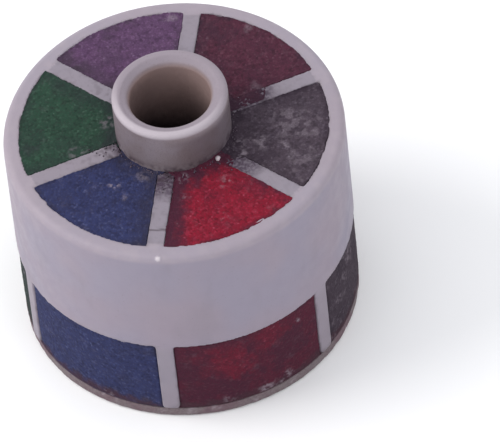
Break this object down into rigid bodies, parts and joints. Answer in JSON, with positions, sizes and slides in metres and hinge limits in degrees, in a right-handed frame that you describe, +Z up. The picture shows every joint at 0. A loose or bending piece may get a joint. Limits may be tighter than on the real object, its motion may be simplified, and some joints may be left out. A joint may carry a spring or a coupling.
{
  "type": "air stone",
  "caption": "Round aquarium air stone: a moulded plastic cage holding coloured wedges of bonded sand round a central push-in socket for an air hose.",
  "frame": {"origin": "centre of the underside, at the middle of the bottom of the object's box", "axes": "+Z up, out of the air hose socket; +Y along one spoke and -Y along the spoke that carries the gate stub"},
  "size_m": [0.025, 0.025, 0.022],
  "materials": {
    "cage_plastic": "satin",
    "tube_plastic": "matte",
    "red_sand": "matte",
    "black_sand": "matte",
    "maroon_sand": "matte",
    "purple_sand": "matte",
    "green_sand": "matte",
    "blue_sand": "matte",
    "seal_resin": "gloss",
    "base_resin": "matte"
  },
  "bodies": {
    "root": {"cage": "cage_plastic", "inlet_tube": "tube_plastic", "stone_red": "red_sand", "stone_black": "black_sand", "stone_maroon": "maroon_sand", "stone_purple": "purple_sand", "stone_green": "green_sand", "stone_blue": "blue_sand", "seal_layer": "seal_resin", "base_disc": "base_resin"}
  },
  "joints": []
}
